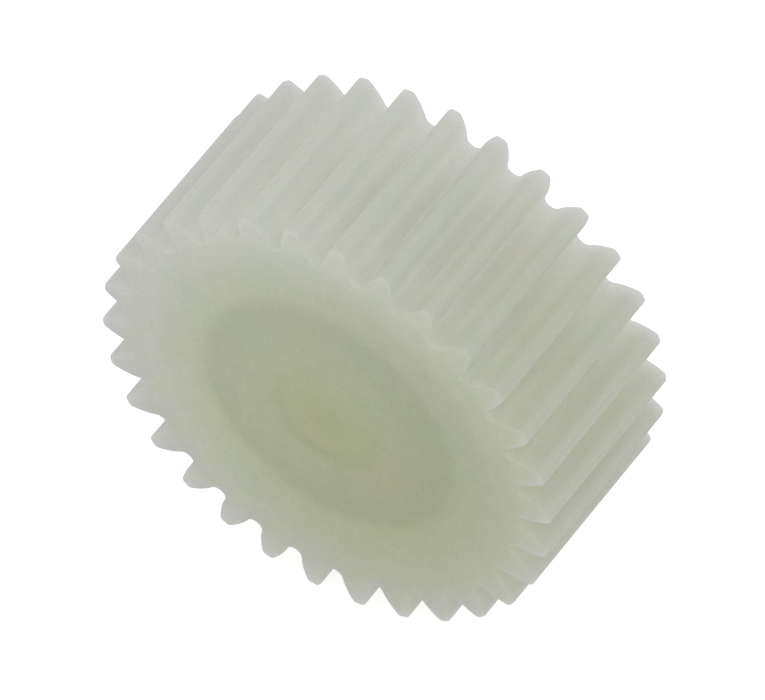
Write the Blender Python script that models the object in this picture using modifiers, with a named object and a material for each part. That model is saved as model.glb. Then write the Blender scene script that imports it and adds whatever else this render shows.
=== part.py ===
"""Idler spur gear of natural nylon, running on two shielded ball bearings.

A 30-tooth involute gear is closed at the front and has a round pocket at the back.
Two deep-groove ball bearings, 8 x 22 x 7 mm, sit in the pocket one behind the other,
and an internal retaining ring in a groove keeps them there. A shaft of 8 mm enters
from the back.

Units are metres. The gear's axis is the world Y axis, its front face looks to -Y, and
the origin is the middle of the gear. Every piece is modelled with its own axis on its
local Z, and the axis empty turns local +Z to the front.
"""
import math

import bmesh
import bpy

MM = 0.001

# Driving dimensions of the gear
MODULE = 1.25 * MM
TEETH = 30
PRESSURE_ANGLE = math.radians(20)
ADDENDUM = 1.0 * MODULE
DEDENDUM = 1.3 * MODULE
TIP_ROUND = 0.27 * MM
FACE_WIDTH = 16.75 * MM

# Front wall: a shallow dish with a low boss in its middle
WEB = 0.85 * MM
DISH_DEPTH = 0.2 * MM
DISH_RADIUS = 11.2 * MM
BOSS_RADIUS = 4.0 * MM

# Standard bearing, 8 x 22 x 7 mm
BEARING_BORE = 4.0 * MM
BEARING_RADIUS = 11.0 * MM
BEARING_WIDTH = 7.0 * MM
BALL_RADIUS = 3.969 / 2 * MM
BALL_COUNT = 7
PITCH_RADIUS = 7.5 * MM
RACE_RADIUS = 1.04 * BALL_RADIUS
RACE_PLAY = 0.06 * MM
RING_CHAMFER = 0.3 * MM
OUTER_SHOULDER = 9.0 * MM
INNER_SHOULDER = 6.05 * MM
SHIELD_SEAT_RADIUS = 9.65 * MM
SHIELD_SEAT_DEPTH = 1.15 * MM
SHIELD_THICKNESS = 0.3 * MM
SHIELD_RIM = 0.75 * MM
SHIELD_BORE = 6.35 * MM
CAGE_INNER = 6.85 * MM
CAGE_OUTER = 8.15 * MM
CAGE_BACK = 2.3 * MM
CAGE_HORN = 0.9 * MM
CAGE_PLAY = 0.1 * MM

# Standard internal retaining ring for a 22 mm bore
CLIP_THICKNESS = 1.0 * MM
CLIP_RADIUS = 11.4 * MM
CLIP_INNER = 9.65 * MM
CLIP_ECCENTRICITY = 0.35 * MM
CLIP_GAP = math.radians(13)
CLIP_LUG = math.radians(25)
CLIP_LUG_INNER = 7.5 * MM
CLIP_HOLE_RADIUS = 1.0 * MM
CLIP_HOLE_CENTRE = 9.3 * MM
GROOVE_RADIUS = 11.5 * MM
GROOVE_PLAY = 0.05 * MM
MOUTH_CHAMFER = 0.3 * MM

# Gaps that keep neighbouring pieces apart
FIT_GAP = 0.05 * MM
STACK_GAP = 0.1 * MM

# Fineness of the round shapes
TURN_STEPS = 36
FLANK_STEPS = 3
ROOT_STEPS = 3
RACE_STEPS = 5
CLIP_STEPS = 14
HOLE_STEPS = 10
BALL_SEGMENTS = 10
BALL_RINGS = 6
EDGE_ANGLE = math.radians(35)
MERGE = 0.001 * MM

# Derived sizes
PITCH = MODULE * TEETH / 2
BASE = PITCH * math.cos(PRESSURE_ANGLE)
FOOT = BASE + 0.08 * MODULE
TIP = PITCH + ADDENDUM
ROOT = PITCH - DEDENDUM
FRONT = FACE_WIDTH / 2
FRONT_BEARING = FRONT - WEB - STACK_GAP - BEARING_WIDTH / 2
REAR_BEARING = FRONT_BEARING - BEARING_WIDTH - STACK_GAP
CLIP_PLACE = REAR_BEARING - BEARING_WIDTH / 2 - STACK_GAP - CLIP_THICKNESS / 2
POCKET_RADIUS = BEARING_RADIUS + FIT_GAP


def remove_old_objects():
    for old in list(bpy.data.objects):
        bpy.data.objects.remove(old, do_unlink=True)


def new_collection(name):
    collection = bpy.data.collections.new(name)
    bpy.context.scene.collection.children.link(collection)
    return collection


def new_material(name, colour, roughness, metallic):
    material = bpy.data.materials.new(name)
    material.use_nodes = True
    shader = material.node_tree.nodes["Principled BSDF"]
    shader.inputs["Base Color"].default_value = (*colour, 1.0)
    shader.inputs["Roughness"].default_value = roughness
    shader.inputs["Metallic"].default_value = metallic
    return material


def add_piece(name, mesh, material, place=0.0):
    """Put a mesh on the gear's axis, `place` metres in front of the middle."""
    piece = bpy.data.objects.new(name, mesh)
    piece.parent = axis_empty
    piece.location = (0.0, 0.0, place)
    if material is None:
        piece.hide_render = True
        piece.display_type = "WIRE"
        cutters.objects.link(piece)
    else:
        if not mesh.materials:
            mesh.materials.append(material)
        parts.objects.link(piece)
    return piece


def finished_mesh(rough):
    """The mesh that an object's modifiers or its curve give, in place of the object."""
    depsgraph = bpy.context.evaluated_depsgraph_get()
    mesh = bpy.data.meshes.new_from_object(rough.evaluated_get(depsgraph))
    mesh.name = rough.name
    bpy.data.objects.remove(rough, do_unlink=True)
    return mesh


def shade(mesh):
    mesh.shade_smooth()
    mesh.set_sharp_from_angle(angle=EDGE_ANGLE)


def turned(name, profile, material, place=0.0):
    """Turn a profile of (radius, height) points about the axis.

    The profile runs down its outer side. It is closed, unless both its ends lie on
    the axis.
    """
    line = bpy.data.meshes.new(name)
    count = len(profile)
    on_axis = profile[0][0] == 0.0
    edges = [(i, (i + 1) % count) for i in range(count - 1 if on_axis else count)]
    line.from_pydata([(radius, 0.0, height) for radius, height in profile], edges, [])
    rough = bpy.data.objects.new(name, line)
    bpy.context.scene.collection.objects.link(rough)
    screw = rough.modifiers.new("turn", "SCREW")
    screw.steps = TURN_STEPS
    screw.render_steps = TURN_STEPS
    screw.use_merge_vertices = True
    screw.merge_threshold = MERGE
    mesh = finished_mesh(rough)
    shade(mesh)
    return add_piece(name, mesh, material, place)


def flat_mesh(name, outlines, thickness):
    """Fill closed outlines of (x, y) points, and give the plate its thickness."""
    curve = bpy.data.curves.new(name, "CURVE")
    curve.dimensions = "2D"
    curve.fill_mode = "BOTH"
    curve.extrude = thickness / 2
    for outline in outlines:
        spline = curve.splines.new("POLY")
        spline.points.add(len(outline) - 1)
        for point, (x, y) in zip(spline.points, outline):
            point.co = (x, y, 0.0, 1.0)
        spline.use_cyclic_u = True
    plate = bpy.data.objects.new(name, curve)
    bpy.context.scene.collection.objects.link(plate)
    mesh = finished_mesh(plate)
    work = bmesh.new()
    work.from_mesh(mesh)
    bmesh.ops.remove_doubles(work, verts=work.verts, dist=MERGE)
    work.to_mesh(mesh)
    work.free()
    shade(mesh)
    return mesh


def cut(piece, cutter):
    boolean = piece.modifiers.new(cutter.name, "BOOLEAN")
    boolean.operation = "DIFFERENCE"
    boolean.solver = "EXACT"
    boolean.object = cutter


def arc(centre, radius, start, end, steps):
    """Points on an arc round `centre`, with both its ends."""
    points = []
    for i in range(steps + 1):
        angle = start + (end - start) * i / steps
        points.append((centre[0] + radius * math.cos(angle), centre[1] + radius * math.sin(angle)))
    return points


def half_tooth_angle(radius):
    """Angle from a tooth's middle to its involute flank at a radius."""
    flank_angle = math.acos(min(1.0, BASE / radius))
    at_pitch = math.tan(PRESSURE_ANGLE) - PRESSURE_ANGLE
    return math.pi / (2 * TEETH) + at_pitch - (math.tan(flank_angle) - flank_angle)


def half_tooth():
    """One side of a tooth on +X, from its tip down its flank to the root's middle."""
    corner = half_tooth_angle(TIP) - TIP_ROUND / TIP
    points = [(TIP * math.cos(corner), TIP * math.sin(corner))]
    top = TIP - TIP_ROUND
    for i in range(FLANK_STEPS):
        radius = top + (FOOT - top) * i / FLANK_STEPS
        angle = half_tooth_angle(radius)
        points.append((radius * math.cos(angle), radius * math.sin(angle)))
    # The root is one arc, from the foot of this flank round to the gap's deepest point.
    gap_middle = math.pi / TEETH
    foot_angle = gap_middle - half_tooth_angle(FOOT)
    side = FOOT * math.sin(foot_angle)
    rise = FOOT * math.cos(foot_angle) - ROOT
    root_radius = (side * side + rise * rise) / (2 * rise)
    reach = ROOT + root_radius
    centre = (reach * math.cos(gap_middle), reach * math.sin(gap_middle))
    foot = gap_middle + math.atan2(-side, rise - root_radius)
    points += arc(centre, root_radius, foot, gap_middle - math.pi, ROOT_STEPS)
    return points


def gear_outline():
    side = half_tooth()
    tooth = [(x, -y) for x, y in reversed(side[:-1])] + side
    outline = []
    for i in range(TEETH):
        turn = 2 * math.pi * i / TEETH
        c, s = math.cos(turn), math.sin(turn)
        outline += [(c * x - s * y, s * x + c * y) for x, y in tooth]
    return outline


def make_gear_body():
    mesh = flat_mesh("gear_body", [gear_outline()], FACE_WIDTH)
    body = add_piece("gear_body", mesh, natural_nylon)
    beyond = FRONT + 1.0 * MM
    pocket_top = FRONT - WEB
    groove_top = CLIP_PLACE + CLIP_THICKNESS / 2 + GROOVE_PLAY
    groove_bottom = CLIP_PLACE - CLIP_THICKNESS / 2 - GROOVE_PLAY
    mouth = POCKET_RADIUS + MOUTH_CHAMFER
    cut(body, turned("pocket_cutter", [
        (0.0, pocket_top),
        (POCKET_RADIUS, pocket_top),
        (POCKET_RADIUS, groove_top),
        (GROOVE_RADIUS, groove_top),
        (GROOVE_RADIUS, groove_bottom),
        (POCKET_RADIUS, groove_bottom),
        (POCKET_RADIUS, -FRONT + MOUTH_CHAMFER),
        (mouth, -FRONT),
        (mouth, -beyond),
        (0.0, -beyond),
    ], None))
    cut(body, turned("dish_cutter", [
        (DISH_RADIUS, beyond),
        (DISH_RADIUS, FRONT),
        (DISH_RADIUS - 3 * DISH_DEPTH, FRONT - DISH_DEPTH),
        (BOSS_RADIUS + 2 * DISH_DEPTH, FRONT - DISH_DEPTH),
        (BOSS_RADIUS, FRONT),
        (BOSS_RADIUS, beyond),
    ], None))


def race(centre_radius, start, end):
    """The groove that the balls run in, as an arc of (radius, height) points."""
    return arc((centre_radius, 0.0), RACE_RADIUS, start, end, RACE_STEPS)


def outer_ring_profile():
    half = BEARING_WIDTH / 2
    seat = half - SHIELD_SEAT_DEPTH
    bottom = PITCH_RADIUS + BALL_RADIUS + RACE_PLAY
    centre = bottom - RACE_RADIUS
    reach = math.acos((OUTER_SHOULDER - centre) / RACE_RADIUS)
    outside = [
        (BEARING_RADIUS - RING_CHAMFER, half),
        (BEARING_RADIUS, half - RING_CHAMFER),
        (BEARING_RADIUS, -half + RING_CHAMFER),
        (BEARING_RADIUS - RING_CHAMFER, -half),
        (SHIELD_SEAT_RADIUS, -half),
        (SHIELD_SEAT_RADIUS, -seat),
        (OUTER_SHOULDER, -seat),
    ]
    groove = race(centre, -reach, reach)
    return outside + groove + [(OUTER_SHOULDER, seat), (SHIELD_SEAT_RADIUS, seat), (SHIELD_SEAT_RADIUS, half)]


def inner_ring_profile():
    half = BEARING_WIDTH / 2
    bottom = PITCH_RADIUS - BALL_RADIUS - RACE_PLAY
    centre = bottom + RACE_RADIUS
    reach = math.acos((centre - INNER_SHOULDER) / RACE_RADIUS)
    groove = race(centre, math.pi - reach, math.pi + reach)
    return [(INNER_SHOULDER, half)] + groove + [
        (INNER_SHOULDER, -half),
        (BEARING_BORE + RING_CHAMFER, -half),
        (BEARING_BORE, -half + RING_CHAMFER),
        (BEARING_BORE, half - RING_CHAMFER),
        (BEARING_BORE + RING_CHAMFER, half),
    ]


def shield_profile(side):
    """A thin disc whose outer rim is turned up, towards `side`: 1 front, -1 rear."""
    low = BEARING_WIDTH / 2 - SHIELD_SEAT_DEPTH + STACK_GAP
    high = low + SHIELD_THICKNESS
    rim = SHIELD_SEAT_RADIUS - FIT_GAP
    profile = [
        (rim, low + SHIELD_RIM),
        (rim, low),
        (SHIELD_BORE, low),
        (SHIELD_BORE, high),
        (rim - SHIELD_THICKNESS, high),
        (rim - SHIELD_THICKNESS, low + SHIELD_RIM),
    ]
    if side < 0:
        profile = [(radius, -height) for radius, height in reversed(profile)]
    return profile


def ball_mesh(name, radius):
    mesh = bpy.data.meshes.new(name)
    work = bmesh.new()
    bmesh.ops.create_uvsphere(work, u_segments=BALL_SEGMENTS, v_segments=BALL_RINGS, radius=radius)
    work.to_mesh(mesh)
    work.free()
    mesh.shade_smooth()
    return mesh


def ball_place(index, place):
    angle = 2 * math.pi * index / BALL_COUNT + math.pi / 2
    return (PITCH_RADIUS * math.cos(angle), PITCH_RADIUS * math.sin(angle), place)


def make_cage(name, place):
    """A crown cage: it is closed at the front, and the balls snap in from behind."""
    cage = turned(name, [
        (CAGE_OUTER, CAGE_BACK),
        (CAGE_OUTER, -CAGE_HORN),
        (CAGE_INNER, -CAGE_HORN),
        (CAGE_INNER, CAGE_BACK),
    ], cage_nylon, place)
    pocket = ball_mesh(f"{name}_pocket", BALL_RADIUS + CAGE_PLAY)
    for i in range(BALL_COUNT):
        cutter = add_piece(f"{name}_pocket_{i + 1}", pocket, None)
        cutter.location = ball_place(i, place)
        cut(cage, cutter)


def make_balls(name, place):
    mesh = ball_mesh(name, BALL_RADIUS)
    for i in range(BALL_COUNT):
        ball = add_piece(f"{name}_{i + 1}", mesh, ball_steel)
        ball.location = ball_place(i, place)


def make_bearing(name, place):
    turned(f"{name}_outer_ring", outer_ring_profile(), bearing_steel, place)
    turned(f"{name}_inner_ring", inner_ring_profile(), bearing_steel, place)
    turned(f"{name}_front_shield", shield_profile(1), pressed_steel, place)
    turned(f"{name}_rear_shield", shield_profile(-1), pressed_steel, place)
    make_cage(f"{name}_cage", place)
    make_balls(f"{name}_ball", place)


def clip_outline():
    """Outer arc, then each lug and the beam between them along the inner side."""
    start = math.pi / 2 + CLIP_GAP
    end = start + 2 * math.pi - 2 * CLIP_GAP
    outline = arc((0.0, 0.0), CLIP_RADIUS, start, end, 2 * CLIP_STEPS)
    outline += arc((0.0, 0.0), CLIP_LUG_INNER, end, end - CLIP_LUG, 2)
    for i in range(CLIP_STEPS + 1):
        angle = end - CLIP_LUG + (start - end + 2 * CLIP_LUG) * i / CLIP_STEPS
        radius = CLIP_INNER + CLIP_ECCENTRICITY * math.sin(angle)
        outline.append((radius * math.cos(angle), radius * math.sin(angle)))
    outline += arc((0.0, 0.0), CLIP_LUG_INNER, start + CLIP_LUG, start, 2)
    return outline


def clip_hole(side):
    angle = math.pi / 2 + side * (CLIP_GAP + CLIP_LUG / 2)
    centre = (CLIP_HOLE_CENTRE * math.cos(angle), CLIP_HOLE_CENTRE * math.sin(angle))
    return arc(centre, CLIP_HOLE_RADIUS, 0.0, 2 * math.pi, HOLE_STEPS)[:-1]


def make_retaining_ring():
    outlines = [clip_outline(), clip_hole(1), clip_hole(-1)]
    mesh = flat_mesh("retaining_ring", outlines, CLIP_THICKNESS)
    add_piece("retaining_ring", mesh, spring_steel, CLIP_PLACE)


remove_old_objects()
parts = new_collection("spur_gear")
cutters = new_collection("cutters")
axis_empty = bpy.data.objects.new("gear_axis", None)
axis_empty.rotation_euler = (math.radians(90), 0.0, 0.0)
parts.objects.link(axis_empty)

natural_nylon = new_material("natural_nylon", (0.46, 0.48, 0.38), 0.5, 0.0)
bearing_steel = new_material("bearing_steel", (0.62, 0.62, 0.63), 0.22, 1.0)
ball_steel = new_material("ball_steel", (0.7, 0.7, 0.71), 0.08, 1.0)
pressed_steel = new_material("pressed_steel", (0.55, 0.55, 0.56), 0.35, 1.0)
cage_nylon = new_material("cage_nylon", (0.75, 0.72, 0.6), 0.5, 0.0)
spring_steel = new_material("spring_steel", (0.09, 0.085, 0.08), 0.45, 0.9)

make_gear_body()
make_bearing("front_bearing", FRONT_BEARING)
make_bearing("rear_bearing", REAR_BEARING)
make_retaining_ring()
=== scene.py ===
"""Looks of the nylon idler gear: its smooth moulded body, the bearings behind it, and the light.

Lengths are in millimetres until a mesh is made, which turns them into metres. Materials, the
light and the camera are in metres. Points on a turned or flat shape are given on the gear's
own axis: x and y across it, and `height` along it, counted towards the closed front face,
which looks to -Y in the world.
"""

import math

import bmesh
import bpy
from mathutils import Matrix, Vector

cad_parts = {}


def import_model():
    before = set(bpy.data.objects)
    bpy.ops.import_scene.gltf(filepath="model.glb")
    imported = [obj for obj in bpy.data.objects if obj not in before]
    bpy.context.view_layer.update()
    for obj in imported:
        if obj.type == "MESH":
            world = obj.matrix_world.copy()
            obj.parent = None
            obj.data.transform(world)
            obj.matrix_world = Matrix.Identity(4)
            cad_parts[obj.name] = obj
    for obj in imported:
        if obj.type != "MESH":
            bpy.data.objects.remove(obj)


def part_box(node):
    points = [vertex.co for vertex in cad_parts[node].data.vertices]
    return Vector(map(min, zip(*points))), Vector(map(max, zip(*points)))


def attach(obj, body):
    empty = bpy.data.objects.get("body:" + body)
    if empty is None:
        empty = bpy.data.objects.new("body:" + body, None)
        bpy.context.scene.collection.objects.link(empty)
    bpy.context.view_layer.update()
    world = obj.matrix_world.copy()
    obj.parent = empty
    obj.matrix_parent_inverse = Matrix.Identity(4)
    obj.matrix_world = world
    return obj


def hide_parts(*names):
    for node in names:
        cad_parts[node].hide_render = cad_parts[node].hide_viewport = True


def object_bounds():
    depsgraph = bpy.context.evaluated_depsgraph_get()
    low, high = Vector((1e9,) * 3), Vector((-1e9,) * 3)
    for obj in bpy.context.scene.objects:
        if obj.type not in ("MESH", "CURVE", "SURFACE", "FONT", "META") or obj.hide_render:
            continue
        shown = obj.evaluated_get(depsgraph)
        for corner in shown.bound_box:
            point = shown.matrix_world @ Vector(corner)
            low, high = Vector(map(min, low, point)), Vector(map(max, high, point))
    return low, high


MM = 0.001

# Gear teeth, as in the frame
TEETH = 30
MODULE = 1.25
PRESSURE_ANGLE = math.radians(20)
PITCH = MODULE * TEETH / 2
BASE = PITCH * math.cos(PRESSURE_ANGLE)
FOOT = BASE + 0.08 * MODULE
TIP = PITCH + MODULE
ROOT = PITCH - 1.3 * MODULE
TIP_ROUND = 0.27
EDGE_ROUND = 0.16
FACE_INSET = 0.06

# Front wall: a dish round a low boss, with slopes that start a little outside each step
WEB = 0.85
DISH_DEPTH = 0.2
DISH_RADIUS = 11.2
DISH_SLOPE = 2.6
BOSS_RADIUS = 4.0
BOSS_SLOPE = 1.7
SLOPE_START = 0.8

# Rear pocket
POCKET_RADIUS = 11.04
POCKET_ROUND = 0.06
GROOVE_RADIUS = 11.5
GROOVE_PLAY = 0.05
MOUTH_CHAMFER = 0.3
MOUTH_LAND = 0.6
INNERMOST = 0.6

# Bearing, 8 x 22 x 7
BORE = 4.0
BORE_ROUND = 0.3
RING_RADIUS = 10.98
RING_ROUND = 0.3
RING_LIP = 0.3
RING_LIP_FLARE = 0.08
BALL_RADIUS = 3.969 / 2
BALL_COUNT = 7
BALL_PITCH = 7.5
RACE_RADIUS = 1.04 * BALL_RADIUS
RACE_PLAY = 0.06
SEAT_RADIUS = 9.65
SEAT_DEPTH = 1.15
OUTER_SHOULDER = 9.0
INNER_SHOULDER = 6.05
INNER_LAND = 1.0
INNER_EDGE_ROUND = 0.08

# Shield, pressed from sheet, with a step towards the balls and a rolled lip
SHEET = 0.3
SHIELD_BORE = 6.35
SHIELD_RADIUS = 9.63
SHIELD_PLAY = 0.1
SHIELD_STEP = 0.12
SHIELD_LIP = 0.75
SHIELD_ROUND = 0.12

# Cage
CAGE_OUTER = 8.15
CAGE_INNER = 6.85
CAGE_ROUND = 0.15
CAGE_PLAY = 0.1

# Retaining ring
CLIP_RADIUS = 11.4
CLIP_INNER = 9.65
CLIP_ECCENTRICITY = 0.35
CLIP_EDGE = 0.07
CLIP_GAP = math.radians(13)
CLIP_LUG = math.radians(25)
CLIP_LUG_INNER = 7.5
CLIP_LUG_ROUND = 0.7
CLIP_HOLE_RADIUS = 1.0
CLIP_HOLE_CENTRE = 9.3

# Fineness
TURN_STEPS = 180
OUTLINE_PER_STEP = 6
LAND_STEPS = 1
TIP_STEPS = 4
FLANK_STEPS = 6
ROOT_STEPS = 7
EDGE_STEPS = 4
RACE_STEPS = 14
BALL_SUBDIVISIONS = 4
CLIP_OUTER_STEPS = 120
CLIP_BEAM_STEPS = 90
CLIP_HOLE_STEPS = 40
CLIP_LUG_STEPS = 6
CLIP_BEVEL_STEPS = 2
MERGE = 0.0001
SMOOTH_ANGLE = math.radians(32)
NEARLY_STRAIGHT = math.radians(86)
MOST_OF_A_SIDE = 0.45

# Nylon colours, and tints that multiply them: streaks and specks of the moulding, then painted
# shade on the teeth and towards the gear's right, front and bottom
NYLON_CREAM = (0.728, 0.753, 0.652)
NYLON_GREEN = (0.692, 0.754, 0.657)
NYLON_MILK = (0.736, 0.741, 0.684)
STREAK_TINT = (0.965, 0.970, 0.960)
SPECK_TINT = (0.94, 0.94, 0.94)
# Painted shade: teeth greyer, and greyer still near their ends, against the light they catch from
# both sides
PAINTED_TOOTH_SHADE = (0.92, 0.92, 0.93)
PAINTED_TOOTH_END_SHADE = (0.86, 0.86, 0.86)
# Painted shade: darker and yellower towards the gear's right, front and bottom, where less light
# falls
PAINTED_SHADE_TINT = (0.82, 0.82, 0.72)
PAINTED_SHADE_SIDE = (0.7, -0.4, -0.6)
NYLON_IOR = 1.53

# Painted light and shade by distance from the axis, as a share of the tip radius: a darker,
# yellower middle, a lighter band towards the rim, and darker tooth tips
PAINTED_WALL_LIGHT_AND_SHADE = (
    (0.00, (0.91, 0.93, 0.63)),
    (0.18, (0.96, 0.99, 0.71)),
    (0.28, (1.04, 1.05, 0.84)),
    (0.53, (1.00, 1.02, 0.83)),
    (0.66, (1.04, 1.05, 0.92)),
    (0.76, (1.06, 1.06, 0.98)),
    (0.87, (1.00, 1.00, 0.94)),
    (1.00, (0.82, 0.82, 0.80)),
)
# Painted light: brighter gaps between the teeth, against the shade that falls in them
PAINTED_GAP_LIGHT_TINTS = (
    (0.80, (1.0, 1.0, 1.0)),
    (0.84, (1.46, 1.42, 1.50)),
    (0.90, (1.40, 1.36, 1.43)),
    (0.98, (1.06, 1.06, 1.06)),
)

# Light, with directions as azimuth and elevation in degrees
TENT_BRIGHT = (60, 64)
TENT_LOW = 0.47
TENT_HIGH = 0.835
SOFTBOX_FROM = (115, 55)
SOFTBOX_DISTANCE = 0.5
SOFTBOX_SIZE = 0.5
SOFTBOX_POWER = 0.04
FLOOR_HALF = 3.0

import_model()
cad_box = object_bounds()


def span(node):
    """Lowest and highest height of a CAD node along the gear's axis, in millimetres."""
    low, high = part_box(node)
    return -high.y / MM, -low.y / MM


REAR, FRONT = span("gear_body")


# ---------------------------------------------------------------- mesh helpers

def world(x, y, height):
    return Vector((x, -height, y)) * MM


def polar(radius, angle):
    return radius * math.cos(angle), radius * math.sin(angle)


def arc(centre, radius, start, end, steps):
    """Points on an arc round `centre`, with both its ends."""
    points = []
    for i in range(steps + 1):
        x, y = polar(radius, start + (end - start) * i / steps)
        points.append((centre[0] + x, centre[1] + y))
    return points


def bent(start, corner, end, t):
    """A point on the curve that leaves towards `corner` and arrives from it."""
    point = start * (1 - t) ** 2 + corner * (2 * t * (1 - t)) + end * t * t
    return point.x, point.y


def rounded(points, radius, steps=3, closed=True, only=None):
    """Replace the corners of an outline with small curves that touch both sides."""
    result = []
    count = len(points)
    for i, corner in enumerate(points):
        if (not closed and i in (0, count - 1)) or (only is not None and i not in only):
            result.append(corner)
            continue
        here = Vector(corner)
        before = Vector(points[i - 1]) - here
        after = Vector(points[(i + 1) % count]) - here
        half = before.angle(after) / 2
        if half > NEARLY_STRAIGHT:
            result.append(corner)
            continue
        reach = min(radius / math.tan(half),
                    before.length * MOST_OF_A_SIDE, after.length * MOST_OF_A_SIDE)
        start = here + before.normalized() * reach
        end = here + after.normalized() * reach
        result += [bent(start, here, end, k / steps) for k in range(steps + 1)]
    return result


def new_object(name, data):
    thing = bpy.data.objects.new(name, data)
    bpy.context.scene.collection.objects.link(thing)
    return thing


def finish_piece(mesh, name, material, slot, body, *nodes):
    """Shade a mesh, give it its looks, and let it stand for its CAD nodes."""
    mesh.shade_smooth()
    mesh.set_sharp_from_angle(angle=SMOOTH_ANGLE)
    mesh.materials.append(material)
    piece = new_object(name, mesh)
    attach(piece, body)
    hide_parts(*nodes)


def finished_mesh(rough):
    """The mesh that an object's modifiers or its curve give."""
    depsgraph = bpy.context.evaluated_depsgraph_get()
    return bpy.data.meshes.new_from_object(rough.evaluated_get(depsgraph))


def mesh_from_work(work, name):
    bmesh.ops.recalc_face_normals(work, faces=work.faces)
    mesh = bpy.data.meshes.new(name)
    work.to_mesh(mesh)
    work.free()
    return mesh


def join_rings(work, one, other):
    """Quads between two closed rings with the same number of points."""
    count = len(one)
    for i in range(count):
        k = (i + 1) % count
        work.faces.new((one[i], one[k], other[k], other[i]))


def close_ring(work, ring, centre):
    middle = work.verts.new(centre)
    for i, start in enumerate(ring):
        work.faces.new((start, ring[(i + 1) % len(ring)], middle))


def turned_ring(work, radius, height):
    ring = []
    for i in range(TURN_STEPS):
        x, y = polar(radius, 2 * math.pi * i / TURN_STEPS)
        ring.append(work.verts.new(world(x, y, height)))
    return ring


def turned_mesh(name, profile):
    """A closed (radius, height) profile turned about the gear's axis."""
    work = bmesh.new()
    rings = [turned_ring(work, radius, height) for radius, height in profile]
    for i, ring in enumerate(rings):
        join_rings(work, ring, rings[(i + 1) % len(rings)])
    return mesh_from_work(work, name)


# ---------------------------------------------------------------- gear body

def half_tooth_angle(radius):
    """Angle from a tooth's middle to its involute flank at a radius."""
    flank_angle = math.acos(min(1.0, BASE / radius))
    at_pitch = math.tan(PRESSURE_ANGLE) - PRESSURE_ANGLE
    return math.pi / (2 * TEETH) + at_pitch - (math.tan(flank_angle) - flank_angle)


def half_tooth():
    """One side of a tooth, from the middle of its tip to the middle of the root."""
    corner = half_tooth_angle(TIP) - TIP_ROUND / TIP
    points = [polar(TIP, corner * i / LAND_STEPS) for i in range(LAND_STEPS)]
    land_end = Vector(polar(TIP, corner))
    tip_corner = Vector(polar(TIP, half_tooth_angle(TIP)))
    top = TIP - TIP_ROUND
    flank_start = Vector(polar(top, half_tooth_angle(top)))
    points += [bent(land_end, tip_corner, flank_start, i / TIP_STEPS) for i in range(TIP_STEPS)]
    for i in range(FLANK_STEPS):
        radius = top + (FOOT - top) * i / FLANK_STEPS
        points.append(polar(radius, half_tooth_angle(radius)))
    gap_middle = math.pi / TEETH
    foot_angle = gap_middle - half_tooth_angle(FOOT)
    side = FOOT * math.sin(foot_angle)
    rise = FOOT * math.cos(foot_angle) - ROOT
    root_radius = (side * side + rise * rise) / (2 * rise)
    foot = gap_middle + math.atan2(-side, rise - root_radius)
    centre = polar(ROOT + root_radius, gap_middle)
    return points + arc(centre, root_radius, foot, gap_middle - math.pi, ROOT_STEPS)


def gap_mirror(points):
    """The other side of a tooth gap, mirrored in the line through the gap's middle."""
    for x, y in points:
        radius, angle = math.hypot(x, y), math.atan2(y, x)
        yield polar(radius, 2 * math.pi / TEETH - angle)


def gear_outline():
    side = half_tooth()
    tooth = side[:-1] + list(gap_mirror(reversed(side[1:])))
    outline = []
    for i in range(TEETH):
        turn = Matrix.Rotation(2 * math.pi * i / TEETH, 2)
        outline += [turn @ Vector(point) for point in tooth]
    return outline


def offset_outline(outline, inward):
    """The outline moved towards its inside, along its normals."""
    moved = []
    count = len(outline)
    for i, point in enumerate(outline):
        along = (outline[(i + 1) % count] - outline[i - 1]).normalized()
        moved.append(point + Vector((-along.y, along.x)) * inward)
    return moved


def outline_ring(work, outline, height):
    return [work.verts.new(world(point.x, point.y, height)) for point in outline]


def rounded_side(outline, from_height, towards):
    """Outlines, each with its height, that go round the edge of a face and down its side."""
    for i in range(EDGE_STEPS + 1):
        angle = math.pi / 2 * i / EDGE_STEPS
        inset = EDGE_ROUND * (1 - math.sin(angle))
        height = from_height - towards * EDGE_ROUND * (1 - math.cos(angle))
        yield offset_outline(outline, inset), height


def stitch(work, outline, ring):
    """Triangles from the gear's fine outline to a turned ring inside it."""
    count = len(outline)
    half = OUTLINE_PER_STEP // 2
    for i, start in enumerate(ring):
        end = ring[(i + 1) % len(ring)]
        first = i * OUTLINE_PER_STEP
        for k in range(OUTLINE_PER_STEP):
            pivot = start if k < half else end
            work.faces.new((outline[(first + k) % count], outline[(first + k + 1) % count], pivot))
        work.faces.new((outline[(first + half) % count], end, start))


def smooth_step(t):
    t = max(0.0, min(1.0, t))
    return t * t * (3 - 2 * t)


def front_relief(radius):
    """Height of the front face: a shallow dish round a low boss."""
    fall = smooth_step((DISH_RADIUS + SLOPE_START - radius) / DISH_SLOPE)
    rise = smooth_step((BOSS_RADIUS + SLOPE_START - radius) / BOSS_SLOPE)
    return FRONT - DISH_DEPTH * fall * (1 - rise)


def inward(start, step, count):
    return [start - step * i for i in range(count)]


def front_radii():
    """Radii of the rings on the front face, close together where it curves."""
    dish_slope = inward(DISH_RADIUS + 0.9, 0.2, 15)
    dish_floor = inward(8.8, 0.6, 7)
    boss_slope = inward(BOSS_RADIUS + 0.9, 0.15, 14)
    boss_top = inward(2.5, 0.45, 5)
    return dish_slope + dish_floor + boss_slope + boss_top


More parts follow.
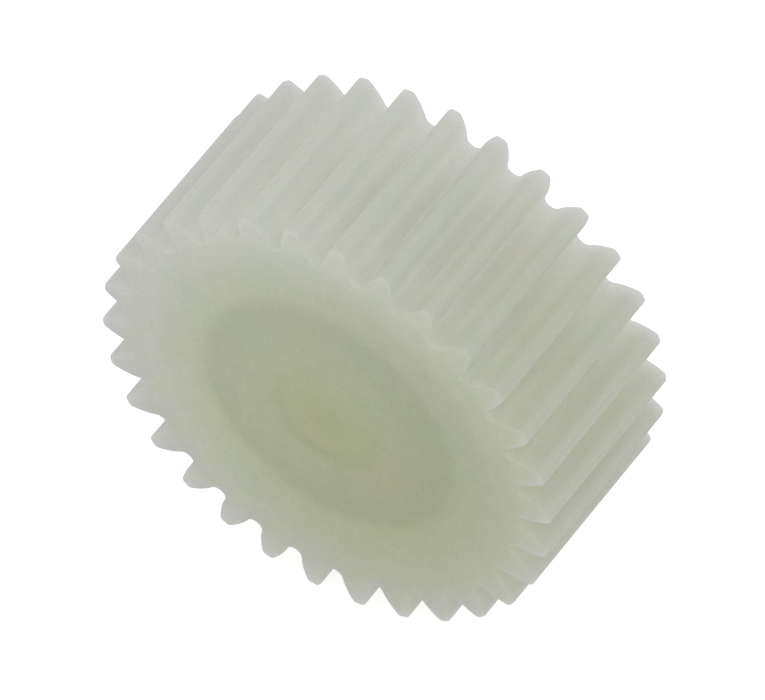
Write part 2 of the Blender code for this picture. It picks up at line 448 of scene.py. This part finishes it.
def pocket_profile():
    """From the rear face into the pocket, past the groove, to the middle of its floor."""
    clip_low, clip_high = span("retaining_ring")
    groove_top, groove_bottom = clip_high + GROOVE_PLAY, clip_low - GROOVE_PLAY
    mouth = POCKET_RADIUS + MOUTH_CHAMFER
    return rounded([
        (mouth + MOUTH_LAND, REAR), (mouth, REAR), (POCKET_RADIUS, REAR + MOUTH_CHAMFER),
        (POCKET_RADIUS, groove_bottom), (GROOVE_RADIUS, groove_bottom),
        (GROOVE_RADIUS, groove_top), (POCKET_RADIUS, groove_top),
        (POCKET_RADIUS, FRONT - WEB), (INNERMOST, FRONT - WEB),
    ], POCKET_ROUND, 2, closed=False)


def make_gear_body(material):
    outline = gear_outline()
    face = offset_outline(outline, EDGE_ROUND + FACE_INSET)
    front_edge = list(rounded_side(outline, FRONT, 1))
    rear_edge = list(rounded_side(outline, REAR, -1))
    steps = [(face, FRONT), *front_edge, *reversed(rear_edge), (face, REAR)]
    work = bmesh.new()
    side = [outline_ring(work, *step) for step in steps]
    front = [turned_ring(work, radius, front_relief(radius)) for radius in front_radii()]
    pocket = [turned_ring(work, *point) for point in pocket_profile()]
    for rings in (side, front, pocket):
        for one, other in zip(rings, rings[1:]):
            join_rings(work, one, other)
    stitch(work, side[0], front[0])
    stitch(work, side[-1], pocket[0])
    close_ring(work, front[-1], world(0, 0, FRONT))
    close_ring(work, pocket[-1], world(0, 0, FRONT - WEB))
    mesh = mesh_from_work(work, "nylon_gear")
    finish_piece(mesh, "nylon_gear", material, "natural_nylon", "gear", "gear_body")


# ---------------------------------------------------------------- bearings

def race(centre, reach, middle):
    """The ball groove, as an arc of (radius, height) points about the ring's middle."""
    return arc((centre, 0.0), RACE_RADIUS, middle - reach, middle + reach, RACE_STEPS)


def outer_ring_profile(half):
    seat = half - SEAT_DEPTH
    lip = SEAT_RADIUS + RING_LIP_FLARE
    centre = BALL_PITCH + BALL_RADIUS + RACE_PLAY - RACE_RADIUS
    reach = math.acos((OUTER_SHOULDER - centre) / RACE_RADIUS)
    outside = rounded([
        (SEAT_RADIUS, half - RING_LIP), (lip, half), (RING_RADIUS, half),
        (RING_RADIUS, -half), (lip, -half), (SEAT_RADIUS, -half + RING_LIP),
    ], RING_ROUND, 5, closed=False)
    low_seat = [(SEAT_RADIUS, -seat), (OUTER_SHOULDER, -seat)]
    high_seat = [(OUTER_SHOULDER, seat), (SEAT_RADIUS, seat)]
    return outside + low_seat + race(centre, reach, 0.0) + high_seat


def inner_ring_profile(half):
    """The race, then the two faces and the bore, rounded more at the bore than outside."""
    centre = BALL_PITCH - BALL_RADIUS - RACE_PLAY + RACE_RADIUS
    reach = math.acos((centre - INNER_SHOULDER) / RACE_RADIUS)
    out_low, out_high = (INNER_SHOULDER, -half), (INNER_SHOULDER, half)
    start = (INNER_SHOULDER, -half + INNER_LAND)
    end = (INNER_SHOULDER, half - INNER_LAND)
    line = [start, out_low, (BORE, -half), (BORE, half), out_high, end]
    line = rounded(line, BORE_ROUND, 5, closed=False, only=(2, 3))
    sharp = [i for i, point in enumerate(line) if point in (out_low, out_high)]
    line = rounded(line, INNER_EDGE_ROUND, 2, closed=False, only=sharp)
    return race(centre, reach, math.pi) + line


def shield_profile(half, side):
    """A pressed disc with a step near its bore and a lip that is rolled into the seat."""
    low = half - SEAT_DEPTH + SHIELD_PLAY
    step = low - SHIELD_STEP
    lip = low + SHIELD_LIP
    inside = SHIELD_RADIUS - SHEET
    line = rounded([
        (SHIELD_RADIUS, lip), (SHIELD_RADIUS, low),
        (7.6, low), (7.25, step), (SHIELD_BORE, step),
        (SHIELD_BORE, step + SHEET), (7.1, step + SHEET), (7.45, low + SHEET),
        (inside - 0.1, low + SHEET), (inside, lip),
    ], SHIELD_ROUND, 3)
    return [(radius, height * side) for radius, height in line]


def shifted(profile, height):
    return [(radius, place + height) for radius, place in profile]


def ball_place(index):
    return polar(BALL_PITCH, 2 * math.pi * index / BALL_COUNT + math.pi / 2)


def ball_mesh(name, radius):
    work = bmesh.new()
    bmesh.ops.create_icosphere(work, subdivisions=BALL_SUBDIVISIONS, radius=radius * MM)
    return mesh_from_work(work, name)


def make_cage(bearing, middle, material):
    """A crown cage of nylon, with a pocket round each ball that is open towards the back."""
    low, high = span(f"{bearing}_cage")
    name = f"{bearing}_crown_cage"
    profile = rounded([(CAGE_OUTER, high), (CAGE_OUTER, low), (CAGE_INNER, low),
                       (CAGE_INNER, high)], CAGE_ROUND, 3)
    blank = new_object("cage_blank", turned_mesh(name, profile))
    cutters = []
    for i in range(BALL_COUNT):
        cutter = new_object("cage_pocket", ball_mesh("cage_pocket", BALL_RADIUS + CAGE_PLAY))
        cutter.location = world(*ball_place(i), middle)
        boolean = blank.modifiers.new("pocket", "BOOLEAN")
        boolean.operation = "DIFFERENCE"
        boolean.object = cutter
        cutters.append(cutter)
    mesh = finished_mesh(blank)
    for used in cutters + [blank]:
        bpy.data.objects.remove(used, do_unlink=True)
    mesh.materials.clear()
    body = bearing.replace("bearing", "ball_set")
    finish_piece(mesh, name, material, "cage_nylon", body, f"{bearing}_cage")


def make_balls(bearing, middle, material):
    body = bearing.replace("bearing", "ball_set")
    for i in range(BALL_COUNT):
        name = f"{bearing}_steel_ball_{i + 1}"
        mesh = ball_mesh(name, BALL_RADIUS)
        mesh.transform(Matrix.Translation(world(*ball_place(i), middle)))
        finish_piece(mesh, name, material, "ball_steel", body, f"{bearing}_ball_{i + 1}")


def make_bearing(bearing, looks):
    low, high = span(f"{bearing}_outer_ring")
    middle, half = (low + high) / 2, (high - low) / 2
    inner_body = bearing.replace("bearing", "inner_ring")
    steel, sheet = looks["bearing_steel"], looks["pressed_steel"]
    mesh = turned_mesh(f"{bearing}_outer_race", shifted(outer_ring_profile(half), middle))
    finish_piece(mesh, mesh.name, steel, "bearing_steel", "gear", f"{bearing}_outer_ring")
    mesh = turned_mesh(f"{bearing}_inner_race", shifted(inner_ring_profile(half), middle))
    finish_piece(mesh, mesh.name, steel, "bearing_steel", inner_body, f"{bearing}_inner_ring")
    for side, word in ((1, "front"), (-1, "rear")):
        profile = shifted(shield_profile(half, side), middle)
        mesh = turned_mesh(f"{bearing}_{word}_dust_shield", profile)
        finish_piece(mesh, mesh.name, sheet, "pressed_steel", "gear", f"{bearing}_{word}_shield")
    make_cage(bearing, middle, looks["cage_nylon"])
    make_balls(bearing, middle, looks["ball_steel"])


# ---------------------------------------------------------------- retaining ring

def clip_outline():
    """Outer arc, then each lug with round corners and the tapering beam between them."""
    start = math.pi / 2 + CLIP_GAP
    end = start + 2 * math.pi - 2 * CLIP_GAP
    outer = arc((0, 0), CLIP_RADIUS, start, end, CLIP_OUTER_STEPS)
    last_lug = [polar(CLIP_LUG_INNER, end), polar(CLIP_LUG_INNER, end - CLIP_LUG)]
    first_lug = [polar(CLIP_LUG_INNER, start + CLIP_LUG), polar(CLIP_LUG_INNER, start)]
    beam = []
    for i in range(CLIP_BEAM_STEPS + 1):
        angle = end - CLIP_LUG + (start - end + 2 * CLIP_LUG) * i / CLIP_BEAM_STEPS
        beam.append(polar(CLIP_INNER + CLIP_ECCENTRICITY * math.sin(angle), angle))
    points = outer + last_lug + beam + first_lug
    lug = len(outer)
    far = lug + 2 + len(beam)
    return rounded(points, CLIP_LUG_ROUND, CLIP_LUG_STEPS, only=(lug, lug + 1, far, far + 1))


def clip_hole(side):
    angle = math.pi / 2 + side * (CLIP_GAP + CLIP_LUG / 2)
    centre = polar(CLIP_HOLE_CENTRE, angle)
    return arc(centre, CLIP_HOLE_RADIUS, 0.0, 2 * math.pi, CLIP_HOLE_STEPS)[:-1]


def make_retaining_ring(material):
    low, high = span("retaining_ring")
    curve = bpy.data.curves.new("circlip", "CURVE")
    curve.dimensions = "2D"
    curve.fill_mode = "BOTH"
    curve.extrude = (high - low) / 2 - CLIP_EDGE
    curve.bevel_depth = CLIP_EDGE
    curve.bevel_resolution = CLIP_BEVEL_STEPS
    curve.offset = -CLIP_EDGE
    for outline in (clip_outline(), clip_hole(1), clip_hole(-1)):
        spline = curve.splines.new("POLY")
        spline.points.add(len(outline) - 1)
        for point, (x, y) in zip(spline.points, outline):
            point.co = (x, y, 0.0, 1.0)
        spline.use_cyclic_u = True
    blank = new_object("circlip", curve)
    mesh = finished_mesh(blank)
    bpy.data.objects.remove(blank, do_unlink=True)
    mesh.transform(Matrix.Translation((0, 0, (low + high) / 2)))
    for vertex in mesh.vertices:
        vertex.co = world(*vertex.co)
    work = bmesh.new()
    work.from_mesh(mesh)
    bmesh.ops.remove_doubles(work, verts=work.verts, dist=MERGE * MM)
    mesh = mesh_from_work(work, "circlip")
    finish_piece(mesh, "circlip", material, "spring_steel", "gear", "retaining_ring")


# ---------------------------------------------------------------- node helpers

def feed(tree, socket, value):
    if isinstance(value, bpy.types.NodeSocket):
        tree.links.new(value, socket)
    else:
        socket.default_value = value


def add_node(tree, kind, inputs, **settings):
    node = tree.nodes.new(kind)
    for key, value in settings.items():
        setattr(node, key, value)
    for key, value in inputs.items():
        feed(tree, node.inputs[key], value)
    return node


def new_material(name, **uniform):
    """A Principled material with its uniform values on the shader's own sockets."""
    material = bpy.data.materials.new(name)
    material.use_nodes = True
    shader = material.node_tree.nodes["Principled BSDF"]
    for key, value in uniform.items():
        socket = key.replace("_", " ").title().replace("Ior", "IOR")
        shader.inputs[socket].default_value = value
    return material, material.node_tree, shader


def noise(tree, vector, scale, detail=2.0, roughness=0.5):
    """Noise with `scale` waves to the metre."""
    node = add_node(tree, "ShaderNodeTexNoise", {
        "Vector": vector, "Scale": scale, "Detail": detail, "Roughness": roughness})
    return node.outputs["Fac"]


def drawn_noise(tree, place, across, along):
    """Noise that is drawn out along the gear's axis."""
    scaled = add_node(tree, "ShaderNodeMapping",
                      {"Vector": place, "Scale": (across, along, across)}).outputs[0]
    return noise(tree, scaled, 1.0)


def remap(tree, value, low, high, to_low=0.0, to_high=1.0, smooth=False):
    node = add_node(tree, "ShaderNodeMapRange", {
        "Value": value, "From Min": low, "From Max": high, "To Min": to_low, "To Max": to_high})
    node.interpolation_type = "SMOOTHSTEP" if smooth else "LINEAR"
    return node.outputs["Result"]


def opaque(colour):
    return (*colour, 1.0) if isinstance(colour, tuple) else colour


def mix(tree, factor, one, other, blend="MIX"):
    node = add_node(tree, "ShaderNodeMix", {0: factor, 6: opaque(one), 7: opaque(other)},
                    data_type="RGBA", blend_type=blend)
    return node.outputs[2]


def tinted(tree, colour, tint, factor=1.0):
    return mix(tree, factor, colour, tint, "MULTIPLY")


def colour_ramp(tree, value, stops):
    """A colour that changes smoothly through (place, colour) stops."""
    node = add_node(tree, "ShaderNodeValToRGB", {"Fac": value})
    node.color_ramp.interpolation = "EASE"
    points = node.color_ramp.elements
    while len(points) < len(stops):
        points.new(1.0)
    for point, (place, colour) in zip(points, stops):
        point.position = place
        point.color = opaque(colour)
    return node.outputs["Color"]


def maths(tree, operation, one, other=0.0):
    return add_node(tree, "ShaderNodeMath", {0: one, 1: other}, operation=operation).outputs[0]


def bump(tree, height, strength, distance, under=None):
    inputs = {"Height": height, "Strength": strength, "Distance": distance}
    if under is not None:
        inputs["Normal"] = under
    return add_node(tree, "ShaderNodeBump", inputs).outputs["Normal"]


def dot(tree, vector, other):
    return add_node(tree, "ShaderNodeVectorMath", {0: vector, 1: other},
                    operation="DOT_PRODUCT").outputs["Value"]


def object_place(tree):
    return add_node(tree, "ShaderNodeTexCoord", {}).outputs["Object"]


def axis_distance(tree, place):
    """The distance of a place from the gear's axis."""
    across = add_node(tree, "ShaderNodeVectorMath", {0: place, 1: (1, 0, 1)}, operation="MULTIPLY")
    length = add_node(tree, "ShaderNodeVectorMath", {0: across.outputs[0]}, operation="LENGTH")
    return length.outputs["Value"]


def axis_place(tree, place):
    return add_node(tree, "ShaderNodeSeparateXYZ", {"Vector": place}).outputs["Y"]


# ---------------------------------------------------------------- materials

def moulded_colour(tree, place, patch, speck):
    """Milky nylon in soft clouds, with faint streaks along the axis and fine specks."""
    cloud = noise(tree, place, 130.0)
    streaks = drawn_noise(tree, place, 900.0, 45.0)
    base = mix(tree, remap(tree, cloud, 0.38, 0.62), NYLON_CREAM, NYLON_GREEN)
    base = mix(tree, remap(tree, patch, 0.4, 0.7, 0.0, 0.6), base, NYLON_MILK)
    base = tinted(tree, base, STREAK_TINT, remap(tree, streaks, 0.35, 0.65))
    return tinted(tree, base, SPECK_TINT, remap(tree, speck, 0.35, 0.65))


def painted_tooth_light_and_shade(tree, base, reach, along):
    """Painted shade that makes the teeth greyer, most of all near their ends, and painted light
    that makes the gaps between them brighter.
    """
    from_middle = maths(tree, "ABSOLUTE", along)
    near_end = remap(tree, from_middle, 0.0050, 0.0082, smooth=True)
    off_the_faces = remap(tree, from_middle, 0.00822, 0.00834, 1.0, 0.0)
    toothed = maths(tree, "MULTIPLY", off_the_faces, remap(tree, reach, 0.82, 0.85))
    # Painted shade on the teeth, strongest near their ends
    base = tinted(tree, base, mix(tree, near_end, PAINTED_TOOTH_SHADE, PAINTED_TOOTH_END_SHADE), toothed)
    inside = remap(tree, from_middle, 0.0045, 0.0082, 1.0, 0.55, smooth=True)
    # Painted light in the gaps, weaker near the ends where less shade falls
    painted_gap_light = colour_ramp(tree, reach, PAINTED_GAP_LIGHT_TINTS)
    return tinted(tree, base, painted_gap_light, maths(tree, "MULTIPLY", toothed, inside))


def nylon_material():
    """Natural nylon: milky, faintly green, with painted shade that makes it darker and yellower
    where only the thin front wall is left, painted light towards the rim and in the gaps between
    the teeth, and painted shade on the teeth and towards the gear's right, front and bottom.
    """
    material, tree, shader = new_material(
        "natural_nylon", subsurface_scale=0.022, subsurface_radius=(1.0, 1.0, 1.0),
        subsurface_anisotropy=0.2, ior=NYLON_IOR, specular_ior_level=0.35)
    place = object_place(tree)
    reach = remap(tree, axis_distance(tree, place), 0.0, TIP * MM)
    patch = noise(tree, place, 330.0, roughness=0.6)
    speck = noise(tree, place, 5200.0)
    base = moulded_colour(tree, place, patch, speck)
    # Painted shade and light by distance from the axis
    base = tinted(tree, base, colour_ramp(tree, reach, PAINTED_WALL_LIGHT_AND_SHADE))
    base = painted_tooth_light_and_shade(tree, base, reach, axis_place(tree, place))
    # Painted shade, darker and yellower towards the gear's right, front and bottom
    painted_shade = remap(tree, dot(tree, place, PAINTED_SHADE_SIDE), -0.014, 0.020, smooth=True)
    feed(tree, shader.inputs["Base Color"], tinted(tree, base, PAINTED_SHADE_TINT, painted_shade))
    feed(tree, shader.inputs["Subsurface Weight"],
         remap(tree, reach, 0.6, 0.86, 0.2, 1.0, smooth=True))
    feed(tree, shader.inputs["Roughness"], remap(tree, patch, 0.3, 0.7, 0.55, 0.7))
    drawn = bump(tree, drawn_noise(tree, place, 2600.0, 60.0), 0.12, 0.04 * MM)
    feed(tree, shader.inputs["Normal"], bump(tree, speck, 0.12, 0.02 * MM, drawn))
    return material


def ground_steel(name, colour, low, high, turning):
    """Turned and ground steel: fine rings about the axis, in gloss and in height."""
    material, tree, shader = new_material(name, metallic=1.0)
    place = object_place(tree)
    line = maths(tree, "ADD", axis_distance(tree, place), axis_place(tree, place))
    rings = add_node(tree, "ShaderNodeTexNoise", {"W": line, "Scale": turning, "Detail": 3.0},
                     noise_dimensions="1D").outputs["Fac"]
    haze = noise(tree, place, 700.0, 3.0)
    dark = tuple(channel * 0.86 for channel in colour)
    feed(tree, shader.inputs["Base Color"], mix(tree, remap(tree, haze, 0.35, 0.7), colour, dark))
    feed(tree, shader.inputs["Roughness"], remap(tree, rings, 0.3, 0.7, low, high))
    feed(tree, shader.inputs["Normal"], bump(tree, rings, 0.15, 0.008 * MM))
    return material


def black_spring_steel():
    """Oiled black oxide, with a few brighter rubbed places."""
    material, tree, shader = new_material("spring_steel", metallic=0.85)
    place = object_place(tree)
    fine = noise(tree, place, 4200.0, 3.0)
    rubbed = remap(tree, noise(tree, place, 420.0, 4.0, 0.6), 0.58, 0.74, 0.0, 0.55)
    feed(tree, shader.inputs["Base Color"],
         mix(tree, rubbed, (0.052, 0.050, 0.050), (0.17, 0.165, 0.16)))
    feed(tree, shader.inputs["Roughness"], remap(tree, fine, 0.3, 0.7, 0.32, 0.5))
    feed(tree, shader.inputs["Normal"], bump(tree, fine, 0.12, 0.01 * MM))
    return material


def cage_plastic():
    material, tree, shader = new_material(
        "cage_nylon", subsurface_weight=0.3, subsurface_scale=0.0006, ior=NYLON_IOR)
    place = object_place(tree)
    cloud = noise(tree, place, 500.0, 3.0)
    feed(tree, shader.inputs["Base Color"],
         mix(tree, cloud, (0.78, 0.75, 0.64), (0.71, 0.67, 0.55)))
    feed(tree, shader.inputs["Roughness"], remap(tree, cloud, 0.3, 0.7, 0.42, 0.55))
    feed(tree, shader.inputs["Normal"], bump(tree, noise(tree, place, 5000.0), 0.1, 0.01 * MM))
    return material


def polished_ball_steel():
    material, tree, shader = new_material("ball_steel", metallic=1.0)
    place = object_place(tree)
    haze = noise(tree, place, 900.0, 4.0)
    feed(tree, shader.inputs["Base Color"],
         mix(tree, haze, (0.72, 0.72, 0.73), (0.62, 0.62, 0.64)))
    feed(tree, shader.inputs["Roughness"], remap(tree, haze, 0.3, 0.7, 0.05, 0.12))
    feed(tree, shader.inputs["Normal"], bump(tree, noise(tree, place, 9000.0), 0.04, 0.003 * MM))
    return material


# ---------------------------------------------------------------- stage, light, camera

def make_stage():
    """A plain white ground that the gear stands on."""
    work = bmesh.new()
    bmesh.ops.create_grid(work, x_segments=1, y_segments=1, size=FLOOR_HALF)
    mesh = bpy.data.meshes.new("floor")
    work.to_mesh(mesh)
    work.free()
    mesh.transform(Matrix.Translation((0, 0, cad_box[0].z)))
    mesh.materials.append(new_material(
        "white_ground", base_color=(0.5, 0.5, 0.5, 1.0), roughness=0.9,
        emission_color=(1.0, 1.0, 1.0, 1.0), emission_strength=0.8)[0])
    floor = new_object("floor", mesh)
    floor.visible_diffuse = False
    floor.visible_glossy = False
    floor.visible_transmission = False
    floor.visible_shadow = False


def direction(azimuth, elevation):
    """From the gear towards a place round it. Azimuth 0 is in front of the gear, at -Y."""
    a, e = math.radians(azimuth), math.radians(elevation)
    return Vector((math.sin(a) * math.cos(e), -math.cos(a) * math.cos(e), math.sin(e)))


def facing(back):
    """The turn of a light or a camera that stands towards `back` and looks at the gear."""
    return (-back).to_track_quat("-Z", "Y")


def make_world():
    """A white light tent, brightest high up and to the gear's front right."""
    room = bpy.data.worlds.new("light_tent")
    room.use_nodes = True
    tree = room.node_tree
    place = add_node(tree, "ShaderNodeTexCoord", {}).outputs["Generated"]
    towards = dot(tree, place, direction(*TENT_BRIGHT))
    background = tree.nodes["Background"]
    background.inputs["Color"].default_value = (1.0, 1.0, 1.0, 1.0)
    feed(tree, background.inputs["Strength"],
         remap(tree, towards, -1.0, 1.0, TENT_LOW, TENT_HIGH))
    bpy.context.scene.world = room
    bpy.context.scene.view_settings.view_transform = "Standard"


def make_softbox():
    """A weak square light from behind the gear and to its right."""
    lamp = bpy.data.lights.new("overhead_softbox", "AREA")
    lamp.shape = "SQUARE"
    lamp.size = SOFTBOX_SIZE
    lamp.energy = SOFTBOX_POWER
    light = new_object("overhead_softbox", lamp)
    back = direction(*SOFTBOX_FROM)
    light.location = back * SOFTBOX_DISTANCE
    light.rotation_mode = "QUATERNION"
    light.rotation_quaternion = facing(back)
    light.visible_camera = False


def make_camera():
    """A long lens from above and to the right, turned a little, as in a catalogue shot."""
    azimuth, elevation, roll = 35.06, 47.76, -3.51
    distance, frame_width = 1.257, 0.05785
    aim_right, aim_down = -0.00011, 0.00008
    data = bpy.data.cameras.new("camera")
    data.sensor_width = 36.0
    data.lens = data.sensor_width * distance / frame_width
    data.clip_start, data.clip_end = 0.1, 20.0
    data.dof.use_dof = False
    camera = new_object("camera", data)
    back = direction(azimuth, elevation)
    turn = facing(back) @ Matrix.Rotation(math.radians(roll), 3, "Z").to_quaternion()
    camera.rotation_mode = "QUATERNION"
    camera.rotation_quaternion = turn
    camera.location = back * distance + turn @ Vector((aim_right, -aim_down, 0.0))
    bpy.context.scene.camera = camera


looks = {
    "bearing_steel": ground_steel("bearing_steel", (0.62, 0.62, 0.63), 0.16, 0.3, 9000.0),
    "pressed_steel": ground_steel("pressed_steel", (0.55, 0.55, 0.56), 0.26, 0.4, 5000.0),
    "cage_nylon": cage_plastic(),
    "ball_steel": polished_ball_steel(),
}
make_gear_body(nylon_material())
make_bearing("front_bearing", looks)
make_bearing("rear_bearing", looks)
make_retaining_ring(black_spring_steel())
make_stage()
make_world()
make_softbox()
make_camera()
